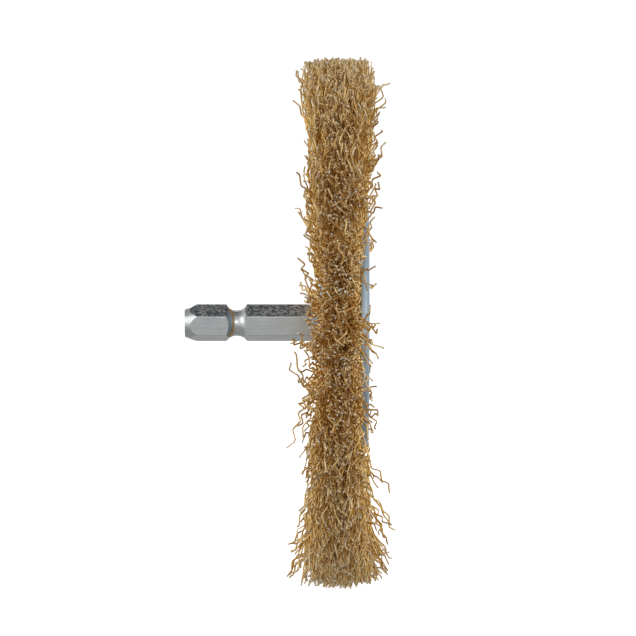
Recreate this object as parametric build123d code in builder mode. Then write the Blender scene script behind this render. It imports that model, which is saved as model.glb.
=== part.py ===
from build123d import *
import os

# Crimped-wire wheel brush on a hexagonal quick-change shank, in millimetres.
# +X runs along the axis of rotation from the shank's free end to the wheel, and +Z is up.
# The origin is on the axis, at the centre of the shank's ball groove, where a holder grips it.

# Shank
HEX_FLATS = 6.3
HEX_TURN = 11.9  # degrees about X that one flat leans down from facing -Y
HEX_EDGE_ROUND = 0.12
TAIL_LENGTH = 10.0  # from the free end to the groove's centre
TAIL_CHAMFER = 2.4
TAIL_END_RADIUS = 2.8
GROOVE_ROUND = 2.4
GROOVE_NECK_RADIUS = 2.55
SPIGOT_RADIUS = 2.5
RIVET_RADIUS = 4.2
RIVET_HEIGHT = 1.1
RIVET_CROWN = 0.8  # the domed share of the head's height

# Wheel
WHEEL_CENTRE = 20.6  # from the groove's centre to the middle plane of the wires
WHEEL_RADIUS = 50.0
TIP_HALF_WIDTH = 6.6
SHOULDER_RADIUS = 40.0
SHOULDER_HALF_WIDTH = 5.9
BUNDLES = 24

# Hub
HUB_HALF_WIDTH = 4.7  # from the middle plane to a flange's outer face
FLANGE_RADIUS = 24.0
SHEET = 1.0
SKIRT_WIDTH = 1.85  # the rim turned in over the wires
SKIRT_END_ROUND = 0.45
DISH_DEPTH = 2.6
DISH_RADIUS = 11.5
DISH_MOUTH_RADIUS = 14.8
WASHER_RADIUS = 7.0
WASHER_THICKNESS = 1.2
WASHER_CHAMFER = 0.2
BUSH_RADIUS = 8.0
BORE_CLEARANCE = 0.1
KEEPER_RADIUS = 18.5
KEEPER_WIRE_RADIUS = 1.2
WIRE_CLEARANCE = 0.15  # between the wires and the hub's pieces
KEEPER_CLEARANCE = 0.05

bore_radius = SPIGOT_RADIUS + BORE_CLEARANCE
dish_face = HUB_HALF_WIDTH - DISH_DEPTH
bush_half_length = dish_face - SHEET
washer_face = dish_face + WASHER_THICKNESS
wire_pack_half_width = HUB_HALF_WIDTH - SHEET - WIRE_CLEARANCE
wire_throat_half_width = HUB_HALF_WIDTH - SKIRT_WIDTH - WIRE_CLEARANCE
wire_root_radius = DISH_MOUTH_RADIUS + SHEET + WIRE_CLEARANCE
hex_corner_radius = HEX_FLATS / 3**0.5
crown_sphere_radius = (RIVET_RADIUS**2 + RIVET_CROWN**2) / (2 * RIVET_CROWN)

os.makedirs("parts", exist_ok=True)


def save(builder, name):
    """Labels a finished piece and writes it as its own STEP file."""
    builder.part.label = name
    export_step(builder.part, f"parts/{name}.step")


def make_shank():
    """Hexagonal bar with a chamfered tail, a ball groove, a turned spigot and its riveted head."""
    with BuildPart() as shank:
        with BuildSketch(Plane.YZ.offset(-TAIL_LENGTH)):
            # A corner lies at angle 0 before the turn, and 30 degrees brings a flat there.
            RegularPolygon(HEX_FLATS / 2, 6, major_radius=False, rotation=HEX_TURN - 30)
        extrude(amount=TAIL_LENGTH + WHEEL_CENTRE - washer_face)
        fillet(shank.edges().filter_by(Axis.X), radius=HEX_EDGE_ROUND)
        with BuildSketch(Plane.XY):
            # The cone that breaks the tail's corners runs on past them, so the cut is clean.
            past_corner = 2 * hex_corner_radius - TAIL_END_RADIUS
            with BuildLine():
                Polyline(
                    (-TAIL_LENGTH, 0),
                    (-TAIL_LENGTH, TAIL_END_RADIUS),
                    (-TAIL_LENGTH + 2 * TAIL_CHAMFER, past_corner),
                    (WHEEL_CENTRE, past_corner),
                    (WHEEL_CENTRE, 0),
                    close=True,
                )
            make_face()
        revolve(axis=Axis.X, mode=Mode.INTERSECT)
        with BuildSketch(Plane.XY):
            with Locations((0, GROOVE_NECK_RADIUS + GROOVE_ROUND)):
                Circle(GROOVE_ROUND)
        revolve(axis=Axis.X, mode=Mode.SUBTRACT)
        with BuildSketch(Plane.YZ.offset(WHEEL_CENTRE - washer_face)):
            Circle(SPIGOT_RADIUS)
        extrude(amount=2 * washer_face)
        with BuildSketch(Plane.XY):
            base = WHEEL_CENTRE + washer_face
            top = base + RIVET_HEIGHT
            with BuildLine():
                Polyline((top, 0), (base, 0), (base, RIVET_RADIUS), (top - RIVET_CROWN, RIVET_RADIUS))
                RadiusArc((top - RIVET_CROWN, RIVET_RADIUS), (top, 0), crown_sphere_radius)
            make_face()
        revolve(axis=Axis.X)
    save(shank, "shank")


def make_flange(side, name):
    """Pressed sheet disc with a dished middle and a rim turned in over the wires."""
    middle = SHEET / 2
    points = [
        (dish_face - middle, bore_radius),
        (dish_face - middle, DISH_RADIUS),
        (HUB_HALF_WIDTH - middle, DISH_MOUTH_RADIUS),
        (HUB_HALF_WIDTH - middle, FLANGE_RADIUS - middle),
        (HUB_HALF_WIDTH - SKIRT_WIDTH, FLANGE_RADIUS - middle),
    ]
    with BuildPart() as flange:
        with BuildSketch(Plane.XY) as section:
            with BuildLine():
                FilletPolyline(
                    [(WHEEL_CENTRE + side * out, radius) for out, radius in points],
                    radius=[1.2, 1.2, 0.8 * SHEET],
                )
            trace(line_width=SHEET)
            skirt_end = section.vertices().filter_by(
                lambda corner: corner.Y > DISH_MOUTH_RADIUS
                and abs(side * (corner.X - WHEEL_CENTRE) + SKIRT_WIDTH - HUB_HALF_WIDTH) < SHEET / 10
            )
            fillet(skirt_end, radius=SKIRT_END_ROUND)
        revolve(axis=Axis.X)
    save(flange, name)


def make_ring(name, start, length, outer, inner, chamfered):
    """Plain turned ring on the axis, with its outer edges broken if chamfered is not zero."""
    with BuildPart() as ring:
        with BuildSketch(Plane.YZ.offset(start)):
            Circle(outer)
            Circle(inner, mode=Mode.SUBTRACT)
        extrude(amount=length)
        if chamfered:
            chamfer(ring.edges().filter_by(GeomType.CIRCLE).group_by(SortBy.RADIUS)[-1], chamfered)
    save(ring, name)


def make_keeper_ring():
    """Round-wire ring that every wire is folded over."""
    with BuildPart() as keeper:
        with BuildSketch(Plane.XY):
            with Locations((WHEEL_CENTRE, KEEPER_RADIUS)):
                Circle(KEEPER_WIRE_RADIUS)
        revolve(axis=Axis.X)
    save(keeper, "keeper_ring")


def make_wire_bundle(number):
    """One sector of the folded wires, from the keeper ring out to the trimmed tips."""
    sector = 360 / BUNDLES
    half = [
        (wire_pack_half_width, wire_root_radius),
        (wire_pack_half_width, FLANGE_RADIUS - SHEET - WIRE_CLEARANCE),
        (wire_throat_half_width, FLANGE_RADIUS - SHEET - WIRE_CLEARANCE),
        (wire_throat_half_width, FLANGE_RADIUS + WIRE_CLEARANCE),
        (SHOULDER_HALF_WIDTH, SHOULDER_RADIUS),
        (TIP_HALF_WIDTH, WHEEL_RADIUS),
    ]
    outline = [(WHEEL_CENTRE + out, radius) for out, radius in half]
    outline += [(WHEEL_CENTRE - out, radius) for out, radius in reversed(half)]
    with BuildPart() as bundle:
        with BuildSketch(Plane.XY.rotated((sector * (number - 1), 0, 0))):
            Polygon(*outline, align=None)
            with Locations((WHEEL_CENTRE, KEEPER_RADIUS)):
                Circle(KEEPER_WIRE_RADIUS + KEEPER_CLEARANCE, mode=Mode.SUBTRACT)
        revolve(axis=Axis.X, revolution_arc=sector)
    save(bundle, f"wire_bundle_{number:02d}")


make_shank()
make_flange(-1, "rear_flange")
make_flange(1, "front_flange")
make_ring("rear_washer", WHEEL_CENTRE - washer_face, WASHER_THICKNESS, WASHER_RADIUS, bore_radius,
          WASHER_CHAMFER)
make_ring("front_washer", WHEEL_CENTRE + dish_face, WASHER_THICKNESS, WASHER_RADIUS, bore_radius,
          WASHER_CHAMFER)
make_ring("spacer_bush", WHEEL_CENTRE - bush_half_length, 2 * bush_half_length, BUSH_RADIUS,
          bore_radius, 0)
make_keeper_ring()
for bundle_number in range(1, BUNDLES + 1):
    make_wire_bundle(bundle_number)
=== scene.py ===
import math

import bpy
import numpy as np
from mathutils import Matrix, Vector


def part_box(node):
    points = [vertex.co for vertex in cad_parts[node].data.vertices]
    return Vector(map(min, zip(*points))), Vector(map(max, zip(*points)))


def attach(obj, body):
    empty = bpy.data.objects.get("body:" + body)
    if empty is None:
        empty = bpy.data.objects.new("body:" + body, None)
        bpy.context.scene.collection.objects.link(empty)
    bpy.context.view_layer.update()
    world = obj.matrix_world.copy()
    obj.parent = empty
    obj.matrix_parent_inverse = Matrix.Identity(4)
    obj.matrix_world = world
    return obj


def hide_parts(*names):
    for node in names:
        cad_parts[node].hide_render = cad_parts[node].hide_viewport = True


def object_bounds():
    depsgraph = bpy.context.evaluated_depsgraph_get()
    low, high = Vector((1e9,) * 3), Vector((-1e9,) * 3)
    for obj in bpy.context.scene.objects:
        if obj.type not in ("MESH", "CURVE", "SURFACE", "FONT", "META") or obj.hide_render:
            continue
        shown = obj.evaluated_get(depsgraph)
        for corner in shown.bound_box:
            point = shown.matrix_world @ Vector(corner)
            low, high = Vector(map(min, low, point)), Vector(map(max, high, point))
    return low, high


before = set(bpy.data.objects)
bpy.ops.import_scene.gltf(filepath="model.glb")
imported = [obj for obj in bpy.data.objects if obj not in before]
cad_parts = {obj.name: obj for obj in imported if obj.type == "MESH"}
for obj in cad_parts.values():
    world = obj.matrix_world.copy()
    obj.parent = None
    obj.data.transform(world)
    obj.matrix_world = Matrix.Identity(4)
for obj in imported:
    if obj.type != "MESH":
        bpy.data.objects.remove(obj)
cad_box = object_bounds()

MM = 0.001
FULL_TURN = 2 * np.pi

# Places on the object, from the frame. The capitalised ones are in millimetres.
keeper_low, keeper_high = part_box("keeper_ring")
flange_low, flange_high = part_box("front_flange")
WHEEL_X = (keeper_low.x + keeper_high.x) / 2 / MM
KEEPER_WIRE = (keeper_high.x - keeper_low.x) / 2 / MM
KEEPER_RADIUS = (keeper_high.z - keeper_low.z) / 2 / MM - KEEPER_WIRE
FLANGE_RADIUS = (flange_high.z - flange_low.z) / 2 / MM
WHEEL_RADIUS = (cad_box[1].z - cad_box[0].z) / 2 / MM
bundle_nodes = sorted(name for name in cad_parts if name.startswith("wire_bundle"))

# Lengths are in millimetres, a share is a part of one, and a pair is a lowest and a highest value. A wire's
# "angle" is its azimuth round the wheel from +Y towards +Z, and its near side is the one that faces -Y.

# One wire, and the two legs of the hairpin that it is folded into.
WIRE_RADIUS = 0.172
HAIRPINS = 125  # folded wires in one bundle
LEG_SAMPLES = 46
FOLD_SAMPLES = 9
SECTION_SIDES = 4
ROOT_RADIUS = 21.6  # where a leg leaves the fold round the keeper ring
THROAT_HALF_WIDTH = 2.25  # of the room for the wires between the two flanges
RIM_CLEARANCE = 0.4
FLARE_START = FLANGE_RADIUS + RIM_CLEARANCE - ROOT_RADIUS  # along a leg, where it starts to spread
LEG_LENGTH = 29.2
TIP_SAMPLING = 0.3  # how much closer together the samples are at the tip
FOLD_CLEARANCE = 1.3 * WIRE_RADIUS
FOLD_WIDENING = 1.7  # of the outermost wires of the pile on the keeper ring
FOLD_DEEPENING = 0.9
CAP_STRIP = 0.04  # share of the colour map kept for the cut ends
MAP_COLUMN = (0.1, 0.9)  # share of its column of the colour map that a wire covers
FIRST_SEED = 1000

# The body of the brush, as it is seen from its rim.
BODY_HALF_WIDTH = 5.8
TOP_WIDENING = 0.3
NEAR_NARROWING = 2.2
WIDTH_UNEVENNESS = 0.45
EVEN_SPREAD = 0.7  # share of the tips' spread that is in proportion to the roots'
EDGE_SPREAD = 0.3  # share that crowds the tips towards the two faces
TIP_SETBACK = 1.1  # of the tips from the middle plane, towards the shank
TIP_SCATTER = 0.3
LEAN_ALONG = 0.75  # of bunches, along the axis
NEAR_LEAN_LOSS = 0.35  # how much less of it there is on the near side
LEAN_AROUND = 0.9  # of bunches, round the wheel
SCATTER_AROUND = 0.4
POLE_LEAN = 6.0  # how far tips lean towards the top and the bottom of the wheel
FLARE_LEAD = 0.35  # how much more of a wire's flare comes early along its leg than late
LEAN_POWER = 1.4

# Loose wires beside the shank.
VEIL_FACE = -0.5  # how near to the shank's face of the body a wire starts, from 0 to -1
VEIL_TOP = 0.45  # height above which there are none, as a share of the wheel's radius
VEIL_SHARE = 0.55
VEIL_WIDTH = 3.4
VEIL_REACH = (0.3, 1.0)
VEIL_TURN = -4.0  # of the tips, sideways round the wheel
VEIL_TURN_SCATTER = 4.5

# Slow waves along each wire: wave length, height.
SLOW_WAVES = ((17.0, 0.45), (8.5, 0.14))
SLOW_WAVE_RISE = 9  # along a leg, from where it spreads to where the waves are full
SLOW_WAVE_STRETCH = (0.8, 1.25)
SLOW_WAVE_SCATTER = 0.8

# Curled ends.
CURL_SHARE = 0.65
CURL_FROM = (0.45, 0.8)  # share of the spreading part of a leg
CURL_SIZE = 0.3
NEAR_CURL_ALONG = 1.8  # how many times its size a curl gains on the near side, along the axis
NEAR_CURL_AROUND = 5.0

# Wires bent out of the body.
STRAY_CHANCE = 0.02
FACE_STRAY_CHANCE = 0.10  # more at the two faces
STRAY_FROM = (0.25, 0.7)  # share of the spreading part of a leg
STRAY_REACH = (0.4, 2.8)
STRAY_SIDE_SCATTER = 0.25
SHANK_SIDE_LOSS = 0.5  # share of their reach that near strays beside the shank lose
STRAY_POWER = 1.5
STRAY_SWAY = 1.6
NEAR_SWAY = 2  # how many times its size the sway gains on the near side
STRAY_STRAIGHTNESS = 0.985  # a stray is trimmed as if it climbed this share of its length, so it ends lower

# Tufts of strays: tip height, side along the shank (-1 is the shank's), reach, share of wires.
TUFTS = (
    (43, 1, 3.2, 0.8), (38, 1, 4.0, 0.8), (28, 1, 4.6, 0.9), (21, 1, 4.0, 0.7), (11, 1, 3.6, 0.7),
    (-1, 1, 4.6, 0.9), (-8, 1, 3.4, 0.7), (-15, 1, 3.8, 0.8), (-25, 1, 4.2, 0.8), (-33, 1, 4.8, 0.8),
    (-41, 1, 5.6, 0.8), (-47, 1, 5.8, 0.8), (45, -1, 1.0, 0.3), (37, -1, 1.4, 0.3), (23, -1, 3.2, 0.6),
    (14, -1, 2.2, 0.5), (-12, -1, 2.4, 0.5), (-17, -1, 2.8, 0.5), (-26, -1, 3.0, 0.5), (-34, -1, 2.4, 0.4),
    (-44, -1, 5.2, 0.4), (-48, -1, 5.0, 0.3),
)
TUFT_SPREAD = 1.6
TUFT_REACH = (0.45, 1.1)
TUFT_FACE = 0.45  # how near to a face of the body a wire of a tuft starts, from 0 to 1
TUFT_LIMIT = 0.1  # cosine of the azimuth that the tufts keep below, on the near side

# The trimmed rim.
TRIM_ALLOWANCE = 0.5  # how far the trimmed tips stand past the nominal radius
TRIM_SCATTER = 0.26
TRIM_ROUNDING = 0.25  # how much lower the rim is at the two faces
SHORT_SHARE = 0.5  # wires that end inside the body
SHORT_BY = (0.6, 5.5)
LEAST_CLIMB = 0.25  # share of each step of a wire that goes outwards, however bent it is

# The crimp.
CRIMP_PITCH = 4.5
CRIMP_HEIGHT = 0.32
LOOSE_CRIMP_PITCH = 3.6  # of the tangled and free-standing wires
LOOSE_CRIMP_HEIGHT = 0.46
PITCH_SPREAD = (0.9, 1.12)
HEIGHT_SPREAD = (0.7, 1.15)
ROOT_CRIMP = 0.45  # share of the crimp's height at the root
FULL_CRIMP = (2, 7)  # where along the leg the crimp grows to its full height
CRIMP_CORNERS = 9  # the wave over its third harmonic, as in a triangle's wave
TWIST_FLOW = 3.0
TWIST_SCATTER = 0.7
TWIST_DRIFT = 0.4
TWIST_RISE = (0.5, 10)
PHASE_FLOW = 4.0
PHASE_SCATTER = 0.8

# Slow waves over the brush face: how many, waves in a turn, waves along the axis in radians per millimetre.
CLUMPS = 26
CLUMPS_AROUND = (14, 58)
CLUMPS_ACROSS = 0.9
CLUMP_SIZE = (0.5, 1.0)


def smoothstep(low, high, value):
    share = np.clip((value - low) / (high - low), 0, 1)
    return share * share * (3 - 2 * share)


def unit(vectors):
    return vectors / np.linalg.norm(vectors, axis=-1, keepdims=True)


class ClumpField:
    """Slow waves over the brush face that lean neighbouring wires the same way, so that they bunch."""

    def __init__(self, seed):
        rng = np.random.default_rng(seed)
        self.around = rng.integers(*CLUMPS_AROUND, CLUMPS)
        self.across = rng.uniform(-CLUMPS_ACROSS, CLUMPS_ACROSS, CLUMPS)
        self.phase = rng.uniform(0, FULL_TURN, CLUMPS)
        self.size = rng.uniform(*CLUMP_SIZE, CLUMPS) / math.sqrt(CLUMPS / 2)

    def __call__(self, angle, x):
        waves = np.sin(angle[:, None] * self.around + x[:, None] * self.across + self.phase)
        return waves @ self.size


lean_field = ClumpField(seed=11)
turn_field = ClumpField(seed=12)
width_field = ClumpField(seed=13)
twist_field = ClumpField(seed=14)
phase_field = ClumpField(seed=15)


def leg_stations():
    """Distances along a leg from its root, closer together towards the tip, where the crimps show."""
    share = np.linspace(0, 1, LEG_SAMPLES)
    return LEG_LENGTH * ((1 + TIP_SAMPLING) * share - TIP_SAMPLING * share**2)


def near_side(angle):
    """1 where a wire points along -Y, falling to 0 a quarter turn away."""
    return np.clip(-np.cos(angle), 0, 1) ** 2


def past(start, share):
    """How far along the rest of the leg each sample is, from 0 at the start to 1 at the tip."""
    return np.clip((share - start) / (1 - start), 0, 1)


def tip_places(rng, angle, across, near):
    """Where each wire's tip would be without its bends: along the axis, and sideways round the wheel."""
    count = len(angle)
    unevenness = WIDTH_UNEVENNESS * width_field(angle, across * 0)
    half_width = BODY_HALF_WIDTH + TOP_WIDENING * np.sin(angle) - NEAR_NARROWING * near + unevenness
    spread = EVEN_SPREAD * across + EDGE_SPREAD * across**3
    tip_x = -TIP_SETBACK + half_width * spread + rng.normal(0, TIP_SCATTER, count)
    tip_x += (LEAN_ALONG - NEAR_LEAN_LOSS * near) * lean_field(angle, tip_x)
    tip_side = LEAN_AROUND * turn_field(angle, tip_x) + rng.normal(0, SCATTER_AROUND, count)
    tip_side += POLE_LEAN * np.sin(2 * angle)

    # Loose wires beside the shank, on the near side of its face of the body.
    chosen = rng.random(count) < VEIL_SHARE
    veil = near * (across < VEIL_FACE) * (np.sin(angle) < VEIL_TOP) * chosen
    tip_x -= veil * rng.uniform(*VEIL_REACH, count) * VEIL_WIDTH
    tip_side += veil * rng.normal(VEIL_TURN, VEIL_TURN_SCATTER, count)
    return tip_x, tip_side


def add_slow_waves(rng, distance, line_x, line_side):
    column = (len(line_x), 1)
    for wave_length, height in SLOW_WAVES:
        rise = height * smoothstep(FLARE_START, FLARE_START + SLOW_WAVE_RISE, distance)
        for line in (line_x, line_side):
            start = rng.uniform(0, FULL_TURN, column)
            stretch = rng.uniform(*SLOW_WAVE_STRETCH, column)
            size = rng.normal(0, SLOW_WAVE_SCATTER, column)
            line += size * rise * np.sin(FULL_TURN * distance / wave_length * stretch + start)


def add_curls(rng, share, near, line_x, line_side):
    """The last millimetres of most wires curl their own way, most of all on the near side."""
    column = (len(line_x), 1)
    curl = past(rng.uniform(*CURL_FROM, column), share) ** 2 * (rng.random(column) < CURL_SHARE)
    line_x += rng.normal(0, CURL_SIZE, column) * (1 + NEAR_CURL_ALONG * near)[:, None] * curl
    line_side += rng.normal(0, CURL_SIZE, column) * (1 + NEAR_CURL_AROUND * near)[:, None] * curl


def tuft_reach(rng, angle, across):
    """How far each wire is bent out by the tufts on the near side; wires inside the body stay."""
    tip_height = WHEEL_RADIUS * np.sin(angle)
    count = len(angle)
    reach = np.zeros(count)
    for height, side, distance, share in TUFTS:
        close = np.exp(-((tip_height - height) / TUFT_SPREAD) ** 2) * (np.cos(angle) < TUFT_LIMIT)
        outside = across * side > TUFT_FACE
        joins = rng.random(count) < share * close * outside
        reach = np.where(joins, side * distance * rng.uniform(*TUFT_REACH, count), reach)
    return reach


def bend_strays(rng, angle, across, near, share, line_x, line_side):
    """Bends some wires out of the body, most of them from its two faces, and says which."""
    count = len(angle)
    stray = rng.random(count) < STRAY_CHANCE + FACE_STRAY_CHANCE * np.abs(across) ** 3
    bend_from = rng.uniform(*STRAY_FROM, count)
    toward = np.sign(across + rng.normal(0, STRAY_SIDE_SCATTER, count))
    beside_shank = near * (toward < 0)
    reach = toward * stray * rng.uniform(*STRAY_REACH, count) * (1 - SHANK_SIDE_LOSS * beside_shank)
    tuft = tuft_reach(rng, angle, across)
    reach = np.where(tuft != 0, tuft, reach)
    stray = reach != 0
    bend = past(bend_from[:, None], share) ** STRAY_POWER
    sway = stray * rng.normal(0, STRAY_SWAY, count) * (1 + NEAR_SWAY * near)
    line_x += reach[:, None] * bend
    line_side += sway[:, None] * bend
    return stray


def climb_to_trim(rng, distance, across, stray, line_x, line_side):
    """How far outwards each sample is from its root, so that the wires end at the trimmed rim."""
    count = len(across)
    step = np.diff(distance)
    x_step = np.diff(line_x, axis=1)
    side_step = np.diff(line_side, axis=1)
    rise = np.sqrt(np.maximum(step**2 - x_step**2 - side_step**2, (LEAST_CLIMB * step) ** 2))
    climb = np.concatenate([np.zeros((count, 1)), np.cumsum(rise, axis=1)], axis=1)
    trim = WHEEL_RADIUS + TRIM_ALLOWANCE + rng.normal(0, TRIM_SCATTER, count)
    trim -= TRIM_ROUNDING * np.abs(across) ** 4
    trim -= (rng.random(count) < SHORT_SHARE) * rng.uniform(*SHORT_BY, count)
    straight_length = np.where(stray, STRAY_STRAIGHTNESS * LEG_LENGTH, climb[:, -1])
    climb *= ((trim - ROOT_RADIUS) / straight_length)[:, None]
    return climb


def crimped(rng, lines, angle, tip_x, distance, share, loose):
    """The lines with their crimp, and each line's crimp-plane normal. Neighbours are crimped alike."""
    count = len(angle)
    column = (count, 1)
    along = unit(np.gradient(lines, axis=1))
    way_x = unit(np.array([1.0, 0, 0]) - along[..., :1] * along)
    way_side = np.cross(along, way_x)
    twist = (TWIST_FLOW * twist_field(angle, tip_x) + rng.normal(0, TWIST_SCATTER, count))[:, None]
    twist = twist * smoothstep(*TWIST_RISE, distance)
    twist = twist + rng.normal(0, TWIST_DRIFT, column) * share
    pitch = CRIMP_PITCH + (LOOSE_CRIMP_PITCH - CRIMP_PITCH) * loose
    pitch = pitch * rng.uniform(*PITCH_SPREAD, column)
    start = PHASE_FLOW * phase_field(angle, tip_x) + rng.normal(0, PHASE_SCATTER, count)
    phase = FULL_TURN * (distance - LEG_LENGTH) / pitch + start[:, None]
    wave = np.sin(phase) - np.sin(3 * phase) / CRIMP_CORNERS
    height = CRIMP_HEIGHT + (LOOSE_CRIMP_HEIGHT - CRIMP_HEIGHT) * loose
    height = height * rng.uniform(*HEIGHT_SPREAD, column)
    height = height * (ROOT_CRIMP + (1 - ROOT_CRIMP) * smoothstep(*FULL_CRIMP, distance))
    bend_way = np.cos(twist)[..., None] * way_x + np.sin(twist)[..., None] * way_side
    return lines + (height * wave)[..., None] * bend_way, np.cross(along, bend_way)


def leg_lines(rng, angle, root_x):
    """Centre lines of crimped legs from their roots to their tips, with each line's crimp-plane normal.

    Places are (x from the wheel's middle plane, sideways round the wheel, radius)."""
    distance = leg_stations()[None, :]
    share = np.clip((distance - FLARE_START) / (LEG_LENGTH - FLARE_START), 0, 1)
    across = root_x / THROAT_HALF_WIDTH
    near = near_side(angle)
    tip_x, tip_side = tip_places(rng, angle, across, near)
    flare = (1 + FLARE_LEAD) * share - FLARE_LEAD * share * share
    line_x = root_x[:, None] + (tip_x - root_x)[:, None] * flare
    line_side = tip_side[:, None] * share**LEAN_POWER
    add_slow_waves(rng, distance, line_x, line_side)
    add_curls(rng, share, near, line_x, line_side)
    stray = bend_strays(rng, angle, across, near, share, line_x, line_side)
    climb = climb_to_trim(rng, distance, across, stray, line_x, line_side)
    lines = np.stack([line_x, line_side, ROOT_RADIUS + climb], axis=-1)
    loose = np.maximum(stray, near)[:, None]
    return crimped(rng, lines, angle, tip_x, distance, share, loose)


def fold_lines(rng, rear_root, front_root):
    """The hidden half turn of each hairpin round the keeper ring, between its two roots."""
    count = len(rear_root)
    depth = rng.uniform(0.0, 1.0, count)[:, None]
    turn = np.linspace(np.pi, FULL_TURN, FOLD_SAMPLES)[None, :]
    wide = KEEPER_WIRE + FOLD_CLEARANCE + FOLD_WIDENING * depth
    deep = KEEPER_WIRE + FOLD_CLEARANCE + FOLD_DEEPENING * depth
    x = wide * np.cos(turn)
    radius = KEEPER_RADIUS + deep * np.sin(turn)
    share = np.linspace(0, 1, FOLD_SAMPLES)[None, :]
    sideways = share * (front_root - rear_root)[:, 1:2] + rear_root[:, 1:2]
    normals = np.zeros((count, FOLD_SAMPLES, 3))
    normals[..., 1] = 1
    return np.stack([x, sideways, radius], axis=-1), normals


def root_places(rng):
    """One distance from the middle plane for each leg, spread evenly over half the throat and shuffled."""
    order = np.arange(HAIRPINS)
    return THROAT_HALF_WIDTH * (rng.permutation(order) + rng.random(HAIRPINS)) / HAIRPINS


def hairpins(rng, first_angle, sector):
    """Centre lines, frame normals, azimuths and distances from the nearer tip of one bundle's wires."""
    order = np.arange(HAIRPINS)
    angle = first_angle + sector * (order + rng.random(HAIRPINS)) / HAIRPINS
    rear_x = -root_places(rng)
    front_x = root_places(rng)
    rear, rear_normals = leg_lines(rng, angle, rear_x)
    front, front_normals = leg_lines(rng, angle, front_x)
    fold, fold_normals = fold_lines(rng, rear[:, 0], front[:, 0])
    lines = np.concatenate([rear[:, ::-1], fold, front], axis=1)
    normals = np.concatenate([-rear_normals[:, ::-1], -fold_normals, front_normals], axis=1)
    leg = LEG_LENGTH - leg_stations()
    from_tip = np.concatenate([leg[::-1], np.full(FOLD_SAMPLES, LEG_LENGTH), leg])
    return lines, normals, angle, from_tip


def to_row(local, angle):
    """Turns (x, sideways, radius) vectors at each wire's azimuth into row axes."""
    cos, sin = np.cos(angle)[:, None], np.sin(angle)[:, None]
    x, sideways, radius = local[..., 0], local[..., 1], local[..., 2]
    return np.stack([x, radius * cos - sideways * sin, radius * sin + sideways * cos], axis=-1)


def swept_vertices(lines, normals, angle):
    """The corners of a small polygon at every sample of every line, in metres on the row's axes."""
    along = unit(np.gradient(lines, axis=1))
    first = unit(normals - np.sum(normals * along, axis=-1, keepdims=True) * along)
    second = np.cross(along, first)
    points = []
    for side in range(SECTION_SIDES):
        corner = FULL_TURN * (side + 0.5) / SECTION_SIDES
        points.append(lines + WIRE_RADIUS * (math.cos(corner) * first + math.sin(corner) * second))
    vertices = to_row(np.stack(points, axis=2).reshape(len(lines), -1, 3), angle)
    vertices[..., 0] += WHEEL_X
    return vertices.reshape(-1, 3) * MM


def wire_faces(rings):
    """Vertex numbers of one wire's wall faces and of its two cut ends."""
    ring = np.arange(rings - 1)[:, None] * SECTION_SIDES
    side = np.arange(SECTION_SIDES)[None, :]
    following = (side + 1) % SECTION_SIDES
    walls = np.stack(
        [ring + side, ring + following, ring + SECTION_SIDES + following, ring + SECTION_SIDES + side],
        axis=-1,
    ).reshape(-1, 4)
    last = (rings - 1) * SECTION_SIDES
    caps = np.array([[3, 2, 1, 0], [last, last + 1, last + 2, last + 3]])
    return walls, caps


def add_attribute(mesh, name, values):
    layer = mesh.attributes.new(name, "FLOAT", "POINT")
    layer.data.foreach_set("value", values.astype(np.float32))


def add_color_map(mesh, count, rings, wall_count):
    """Each wire is one narrow column of the map, root to root, and its cut ends share the strip above.

    The layer's name is the one that the exporter looks for, so it keeps this layout."""
    left, right = MAP_COLUMN
    across = np.array([left, right, right, left])
    wall_v = np.array([0, 0, 1, 1]) + np.repeat(np.arange(rings - 1), SECTION_SIDES)[:, None]
    wall_v = wall_v / (rings - 1) * (1 - CAP_STRIP)
    cap_v = 1 - CAP_STRIP * np.array([[0.4, 0.4, 0.1, 0.1], [0.9, 0.9, 0.6, 0.6]])  # one band for each end
    u = np.tile(across, wall_count + len(cap_v))[None, :] + np.arange(count)[:, None]
    v = np.tile(np.concatenate([wall_v, cap_v]).ravel(), (count, 1))
    layout = mesh.uv_layers.new(name="OFBake")
    layout.data.foreach_set("uv", np.stack([u / count, v], axis=-1).ravel().astype(np.float32))


def wire_mesh(name, lines, normals, angle, from_tip, tone, shear):
    """One mesh of all the wires given, each swept along its line and closed at both cut ends."""
    count, rings, _ = lines.shape
    vertices = swept_vertices(lines, normals, angle)
    walls, caps = wire_faces(rings)
    faces = np.concatenate([walls, caps])
    wire_start = np.arange(count)[:, None, None] * (rings * SECTION_SIDES)
    corners = (faces[None] + wire_start).reshape(-1)

    mesh = bpy.data.meshes.new(name)
    mesh.vertices.add(len(vertices))
    mesh.vertices.foreach_set("co", vertices.ravel())
    mesh.loops.add(len(corners))
    mesh.loops.foreach_set("vertex_index", corners.astype(np.int32))
    face_count = count * len(faces)
    mesh.polygons.add(face_count)
    mesh.polygons.foreach_set("loop_start", np.arange(face_count, dtype=np.int32) * 4)
    is_cap = np.tile(np.arange(len(faces)) >= len(walls), count)
    mesh.polygons.foreach_set("material_index", is_cap.astype(np.int32))
    mesh.polygons.foreach_set("use_smooth", ~is_cap)

    add_attribute(mesh, "tone", np.repeat(tone, rings * SECTION_SIDES))
    add_attribute(mesh, "shear", np.repeat(shear, rings * SECTION_SIDES))
    add_attribute(mesh, "from_tip", np.tile(np.repeat(from_tip, SECTION_SIDES), count))
    add_color_map(mesh, count, rings, len(walls))
    mesh.update(calc_edges=True)
    mesh.validate()
    return mesh


def nodes_of(material):
    """An empty node tree with a Principled shader wired to the output."""
    material.use_nodes = True
    tree = material.node_tree
    tree.nodes.clear()
    output = tree.nodes.new("ShaderNodeOutputMaterial")
    shader = tree.nodes.new("ShaderNodeBsdfPrincipled")
    tree.links.new(shader.outputs["BSDF"], output.inputs["Surface"])
    return tree, shader


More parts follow.
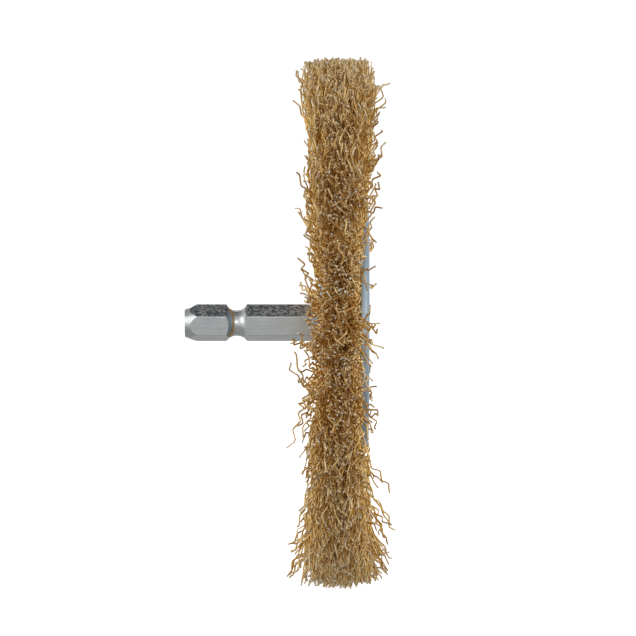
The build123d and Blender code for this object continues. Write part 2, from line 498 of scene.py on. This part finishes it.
def noise(tree, vector, scale, detail, roughness=0.5):
    node = tree.nodes.new("ShaderNodeTexNoise")
    node.inputs["Scale"].default_value = scale
    node.inputs["Detail"].default_value = detail
    node.inputs["Roughness"].default_value = roughness
    tree.links.new(vector, node.inputs["Vector"])
    return node.outputs["Fac"]


def object_space(tree, stretch=(1, 1, 1)):
    place = tree.nodes.new("ShaderNodeTexCoord")
    mapping = tree.nodes.new("ShaderNodeMapping")
    mapping.inputs["Scale"].default_value = stretch
    tree.links.new(place.outputs["Object"], mapping.inputs["Vector"])
    return mapping.outputs["Vector"]


def ramp(tree, value, stops):
    node = tree.nodes.new("ShaderNodeValToRGB")
    band = node.color_ramp
    while len(band.elements) < len(stops):
        band.elements.new(1)
    for element, (position, color) in zip(band.elements, stops):
        element.position = position
        element.color = (*color, 1)
    tree.links.new(value, node.inputs["Fac"])
    return node.outputs["Color"]


def span(tree, value, low, high, to_low, to_high):
    node = tree.nodes.new("ShaderNodeMapRange")
    for name, number in (("From Min", low), ("From Max", high), ("To Min", to_low), ("To Max", to_high)):
        node.inputs[name].default_value = number
    tree.links.new(value, node.inputs["Value"])
    return node.outputs["Result"]


# Sockets of the Mix node's colour mode, whose names are also those of its other modes.
MIX_FIRST = 6
MIX_SECOND = 7
MIX_RESULT = 2


def mixed(tree, share, first, second):
    node = tree.nodes.new("ShaderNodeMix")
    node.data_type = "RGBA"
    tree.links.new(share, node.inputs["Factor"])
    for socket, value in ((node.inputs[MIX_FIRST], first), (node.inputs[MIX_SECOND], second)):
        if isinstance(value, tuple):
            socket.default_value = (*value, 1)
        else:
            tree.links.new(value, socket)
    return node.outputs[MIX_RESULT]


def attribute(tree, name):
    node = tree.nodes.new("ShaderNodeAttribute")
    node.attribute_name = name
    return node.outputs["Fac"]


NOISE_RANGE = (0.3, 0.7)  # where most of a noise texture's values lie

# Colours of the wires. The tones run from the ruddiest coat to a thin one that steel shows through.
BRASS_TONES = (
    (0.0, (0.56, 0.33, 0.09)), (0.45, (0.68, 0.44, 0.15)), (0.75, (0.84, 0.62, 0.29)),
    (0.9, (0.86, 0.71, 0.45)), (1.0, (0.82, 0.76, 0.64)),
)
PATCH_COLOR = (0.62, 0.36, 0.09)
PATCH_SHARE = 0.5
PATCH_RANGE = (0.38, 0.66)
# Lighter coat away from the tips: partly fresher brass, and partly painted fill light that lifts the shade
# between the wires deep in the brush.
FRESH_AND_FILL_LIT_COLOR = (0.94, 0.66, 0.24)
FRESH_AND_FILL_LIT_SHARE = 0.75
FRESH_AND_FILL_LIT_REACH = (1.5, 7.0)  # millimetres from the tip over which the coat turns to fresh brass and painted fill light that lifts the shade deep in the brush
WORN_COLOR = (0.50, 0.42, 0.30)
WORN_SHARE = 0.4
WORN_REACH = (0.2, 1.8)  # millimetres from the tip over which the wear ends
BRASS_ROUGHNESS = (0.42, 0.58)
BRASS_METALLIC = 0.8
# Dark cut ends: painted shade for sheared ends that catch no light.
SHADED_DARK_END = (0.26, 0.19, 0.10)
BARE_END = ((0.3, (0.48, 0.46, 0.43)), (0.7, (0.68, 0.66, 0.62)))
BARE_FROM = (0.58, 0.68)  # a wire's shear, from 0 to 1, over which its ends turn from dark painted shade to bright bare steel with a painted glint
END_ROUGHNESS = 0.5

# Finishes of the hub and the shank: dark and light colour, how finely the drawn lines repeat along each
# axis, scale of the pits, strength of the relief, and the lowest and highest roughness.
SHANK_FINISH = ((0.46, 0.485, 0.49), (0.56, 0.575, 0.575), (60, 5200, 5200), 2400, 0.3, (0.16, 0.26))
FLANGE_FINISH = ((0.29, 0.36, 0.42), (0.37, 0.44, 0.49), (900, 900, 900), 4200, 0.35, (0.42, 0.56))
INNER_FINISH = ((0.32, 0.32, 0.31), (0.46, 0.45, 0.44), (700, 700, 700), 3600, 0.4, (0.35, 0.5))
RELIEF_DEPTH = 0.00005  # metres
LINE_SHADE = 0.35
LINE_RANGE = (0.35, 0.65)

# The shank's spotted flat faces -Y and up. Its dark and white spots are partly the plating's grain and
# partly a painted reflection of a grainy, dark room overhead, laid on this one flat only.
MOTTLED_LEAN = math.radians(48)
MOTTLED_FLAT = (0, -math.cos(MOTTLED_LEAN), math.sin(MOTTLED_LEAN))
MOTTLED_SCALE = 1900
MOTTLED_EDGE = (0.95, 0.99)  # cosine of the angle from the flat's own normal over which the spots start
# Colours of the spots: the plating's grain and a painted reflection.
GRAIN_AND_REFLECTION_COLORS = ((0.42, (0.22, 0.25, 0.28)), (0.62, (1.0, 1.0, 1.0)))


def brass_wire_material():
    """Brass-coated wire: its tone varies wire by wire and along it, and the coat is worn near the tip. Away
    from the tip it is lighter, partly as fresher brass and partly as painted fill light against the shade
    between the wires.
    """
    material = bpy.data.materials.new("brass_wire_coat")
    tree, shader = nodes_of(material)
    place = object_space(tree)
    tone = ramp(tree, attribute(tree, "tone"), BRASS_TONES)
    patch = span(tree, noise(tree, place, scale=420, detail=3), *PATCH_RANGE, 0, PATCH_SHARE)
    coat = mixed(tree, patch, tone, PATCH_COLOR)
    # Painted fill light, partly fresher brass: the coat lightens away from the tip, where the wires shade
    # each other.
    fresh_and_fill_lit = span(tree, attribute(tree, "from_tip"), *FRESH_AND_FILL_LIT_REACH, 0, FRESH_AND_FILL_LIT_SHARE)
    coat = mixed(tree, fresh_and_fill_lit, coat, FRESH_AND_FILL_LIT_COLOR)
    worn = span(tree, attribute(tree, "from_tip"), *WORN_REACH, WORN_SHARE, 0)
    color = mixed(tree, worn, coat, WORN_COLOR)
    tree.links.new(color, shader.inputs["Base Color"])
    roughness = span(tree, noise(tree, place, scale=900, detail=2), *NOISE_RANGE, *BRASS_ROUGHNESS)
    tree.links.new(roughness, shader.inputs["Roughness"])
    shader.inputs["Metallic"].default_value = BRASS_METALLIC
    return material


def cut_end_material():
    """Sheared steel core at each wire's end: bright, a painted glint, on about two wires in five, and dark,
    painted shade, on the others.
    """
    material = bpy.data.materials.new("cut_wire_end")
    tree, shader = nodes_of(material)
    place = object_space(tree)
    steel = ramp(tree, noise(tree, place, scale=1500, detail=2), BARE_END)
    bright = span(tree, attribute(tree, "shear"), *BARE_FROM, 0, 1)
    # Painted glint on the bright ends, painted shade on the dark ones.
    color = mixed(tree, bright, SHADED_DARK_END, steel)
    tree.links.new(color, shader.inputs["Base Color"])
    shader.inputs["Metallic"].default_value = 1.0
    shader.inputs["Roughness"].default_value = END_ROUGHNESS
    return material


def mottled_grain_and_reflection(tree, color):
    """Spotted plating on the flat that faces the mottled way: partly the plating's grain, and partly a
    painted reflection of a grainy, dark room overhead, on this one flat only.
    """
    place = tree.nodes.new("ShaderNodeTexCoord")
    dot = tree.nodes.new("ShaderNodeVectorMath")
    dot.operation = "DOT_PRODUCT"
    dot.inputs[1].default_value = MOTTLED_FLAT
    tree.links.new(place.outputs["Normal"], dot.inputs[0])
    share = span(tree, dot.outputs["Value"], *MOTTLED_EDGE, 0, 1)
    spots = noise(tree, object_space(tree), MOTTLED_SCALE, detail=3, roughness=0.6)
    grain_and_reflection = ramp(tree, spots, GRAIN_AND_REFLECTION_COLORS)
    return mixed(tree, share, color, grain_and_reflection)


def steel_material(name, finish, has_grain_and_reflection_flat=False):
    """Steel with a cloudy surface, fine lines along the way it was drawn, and a pitted grain."""
    dark, light, drawn, grain, bump, roughness = finish
    material = bpy.data.materials.new(name)
    tree, shader = nodes_of(material)
    place = object_space(tree)
    lines = noise(tree, object_space(tree, drawn), scale=1.0, detail=4, roughness=0.6)
    cloud = noise(tree, place, scale=260, detail=4, roughness=0.6)
    pits = noise(tree, place, scale=grain, detail=3, roughness=0.65)
    color = ramp(tree, cloud, [(0.3, dark), (0.7, light)])
    shade = span(tree, lines, *LINE_RANGE, 0, LINE_SHADE)
    color = mixed(tree, shade, color, dark)
    if has_grain_and_reflection_flat:
        # Painted reflection with the plating's grain, on the one mottled flat.
        color = mottled_grain_and_reflection(tree, color)
    tree.links.new(color, shader.inputs["Base Color"])
    tree.links.new(span(tree, pits, *NOISE_RANGE, *roughness), shader.inputs["Roughness"])
    relief = tree.nodes.new("ShaderNodeBump")
    relief.inputs["Strength"].default_value = bump
    relief.inputs["Distance"].default_value = RELIEF_DEPTH
    height = tree.nodes.new("ShaderNodeMath")
    height.operation = "ADD"
    tree.links.new(pits, height.inputs[0])
    tree.links.new(lines, height.inputs[1])
    tree.links.new(height.outputs[0], relief.inputs["Height"])
    tree.links.new(relief.outputs["Normal"], shader.inputs["Normal"])
    shader.inputs["Metallic"].default_value = 1.0
    return material


def dress_hub():
    """Gives the pieces that keep their CAD shape their plated or plain steel."""
    shank = steel_material("plated_shank", SHANK_FINISH, has_grain_and_reflection_flat=True)
    flange = steel_material("blue_zinc_flange", FLANGE_FINISH)
    inner = steel_material("plain_inner_steel", INNER_FINISH)
    finishes = {
        "shank": shank, "rear_flange": flange, "front_flange": flange, "rear_washer": flange,
        "front_washer": flange, "spacer_bush": inner, "keeper_ring": inner,
    }
    for node, material in finishes.items():
        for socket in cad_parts[node].material_slots:
            socket.material = material


def make_wires():
    """Replaces each bundle's plain solid by its own hairpins of crimped wire."""
    coat, cut_end = brass_wire_material(), cut_end_material()
    sector = FULL_TURN / len(bundle_nodes)
    for number, node in enumerate(bundle_nodes):
        rng = np.random.default_rng(FIRST_SEED + number)
        lines, normals, angle, from_tip = hairpins(rng, number * sector, sector)
        tone = rng.random(HAIRPINS)
        shear = rng.random(HAIRPINS)
        name = f"crimped_wires_{number + 1:02d}"
        mesh = wire_mesh(name, lines, normals, angle, from_tip, tone, shear)
        mesh.materials.append(coat)
        mesh.materials.append(cut_end)
        wires = bpy.data.objects.new(mesh.name, mesh)
        bpy.context.scene.collection.objects.link(wires)
        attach(wires, "root")
        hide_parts(node)


# Studio, in metres.
FRAME_WIDTH = 0.1223  # of the view, at the object's axis
CAMERA_DISTANCE = 1.0
SENSOR_WIDTH = 36.0  # in millimetres
FRAME_CENTRE_X = 0.0156
FRAME_CENTRE_Z = 0.0009
VIEW_END = 200.0
FLOOR_RADIUS = 60.0
FLOOR_SIDES = 64
FLOOR_GLOW = 0.8
FLOOR_TONES = ((0.3, (0.80, 0.80, 0.80)), (0.7, (0.84, 0.84, 0.84)))
BACKDROP_LIGHT = 1.1
# Brightness of the room from straight down (0) to straight up (1).
ROOM_LIGHT = (
    (0.0, 0.42), (0.2, 0.48), (0.3, 0.65), (0.4, 1.0), (0.6, 1.05), (0.75, 0.85), (0.93, 0.5),
    (0.99, 0.18), (1.0, 0.18),
)
# Softboxes: name, place, width, height, power in watts.
SOFTBOXES = (
    ("left_softbox", (-0.85, -0.6, 0.35), 0.7, 0.8, 1.8),
    ("right_softbox", (0.9, -0.55, 0.25), 0.6, 0.8, 1.6),
    ("front_softbox", (0.0, -1.05, 0.14), 0.4, 0.22, 1.0),
    ("back_softbox", (0.1, 0.9, 0.5), 0.8, 0.5, 1.6),
)


def make_floor():
    """A wide pale disc that the lowest wire tips touch."""
    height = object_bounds()[0].z
    mesh = bpy.data.meshes.new("floor")
    rim = [(FLOOR_RADIUS * math.cos(turn), FLOOR_RADIUS * math.sin(turn), height)
           for turn in np.linspace(0, FULL_TURN, FLOOR_SIDES, endpoint=False)]
    mesh.from_pydata(rim, [], [list(range(FLOOR_SIDES))])
    floor = bpy.data.objects.new("floor", mesh)
    bpy.context.scene.collection.objects.link(floor)
    material = bpy.data.materials.new("pale_floor")
    tree, shader = nodes_of(material)
    color = ramp(tree, noise(tree, object_space(tree), scale=3, detail=2), FLOOR_TONES)
    tree.links.new(color, shader.inputs["Base Color"])
    shader.inputs["Roughness"].default_value = 0.9
    shader.inputs["Specular IOR Level"].default_value = 0.0
    shader.inputs["Emission Color"].default_value = (1, 1, 1, 1)
    shader.inputs["Emission Strength"].default_value = FLOOR_GLOW
    mesh.materials.append(material)
    # The metal reflects the room's own gradient rather than the glowing floor.
    floor.visible_glossy = False
    floor.visible_diffuse = False


def make_world():
    """White behind the object, and for its light a room that is dark straight overhead."""
    world = bpy.data.worlds.new("studio")
    bpy.context.scene.world = world
    world.use_nodes = True
    tree = world.node_tree
    place = tree.nodes.new("ShaderNodeTexCoord")
    parts = tree.nodes.new("ShaderNodeSeparateXYZ")
    tree.links.new(place.outputs["Generated"], parts.inputs["Vector"])
    height = span(tree, parts.outputs["Z"], -1, 1, 0, 1)
    room = ramp(tree, height, [(position, (light,) * 3) for position, light in ROOM_LIGHT])
    path = tree.nodes.new("ShaderNodeLightPath")
    light = mixed(tree, path.outputs["Is Camera Ray"], room, (BACKDROP_LIGHT,) * 3)
    tree.links.new(light, tree.nodes["Background"].inputs["Color"])


def make_softbox(name, place, width, height, power):
    """A rectangular light that faces the middle of the wheel."""
    data = bpy.data.lights.new(name, "AREA")
    data.shape = "RECTANGLE"
    data.size = width
    data.size_y = height
    data.energy = power
    lamp = bpy.data.objects.new(name, data)
    bpy.context.scene.collection.objects.link(lamp)
    lamp.location = place
    centre = (keeper_low + keeper_high) / 2
    lamp.rotation_euler = (centre - lamp.location).to_track_quat("-Z", "Y").to_euler()


def make_camera():
    """Level camera looking along +Y, with the shank to the left."""
    data = bpy.data.cameras.new("camera")
    data.sensor_width = SENSOR_WIDTH
    data.lens = SENSOR_WIDTH * CAMERA_DISTANCE / FRAME_WIDTH
    data.clip_end = VIEW_END
    camera = bpy.data.objects.new("camera", data)
    bpy.context.scene.collection.objects.link(camera)
    camera.location = (FRAME_CENTRE_X, -CAMERA_DISTANCE, FRAME_CENTRE_Z)
    camera.rotation_euler = (math.radians(90), 0, 0)
    bpy.context.scene.camera = camera


dress_hub()
make_wires()
make_floor()
make_world()
for softbox in SOFTBOXES:
    make_softbox(*softbox)
make_camera()
bpy.context.scene.view_settings.view_transform = "Standard"
